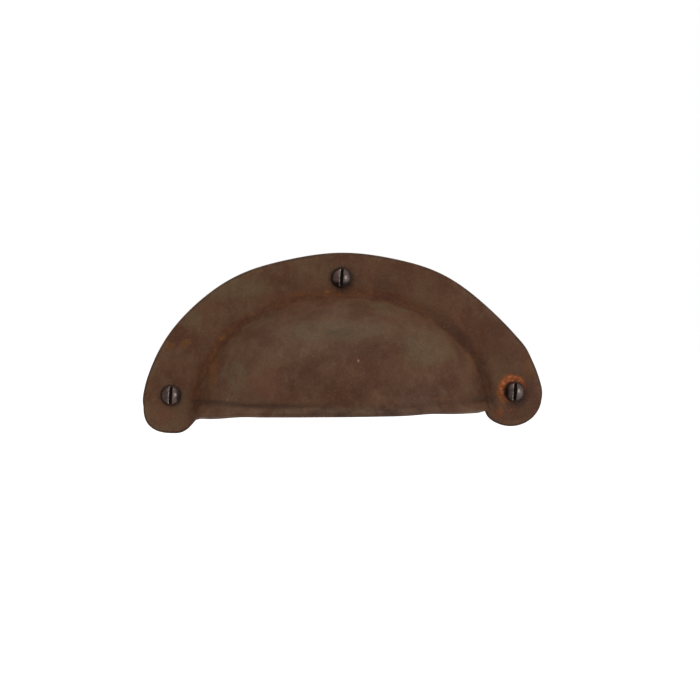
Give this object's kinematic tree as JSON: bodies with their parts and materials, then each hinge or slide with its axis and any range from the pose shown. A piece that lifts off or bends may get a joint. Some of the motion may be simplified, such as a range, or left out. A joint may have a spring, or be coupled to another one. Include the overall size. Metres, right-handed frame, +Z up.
{
  "type": "cup pull",
  "caption": "Half-round drawer cup pull: an arched flange, a domed finger hood and a flared lip in one rust-browned iron sheet, fixed by slotted round-head screws",
  "frame": {"origin": "midway between the axes of the two lower screws, on the plane of the flange's back", "axes": "+X runs to the right along the drawer front, +Y into the drawer front, +Z up"},
  "size_m": [0.102, 0.0375, 0.045],
  "materials": {
    "rusted_iron": "mottled rust-brown patina, satin, with ochre rust and dark grime in the crease",
    "screw_steel": "blackened steel, worn to a semi-gloss brown-black"
  },
  "bodies": {
    "root": {"cup_shell": "rusted_iron", "screws": "screw_steel"}
  },
  "joints": []
}
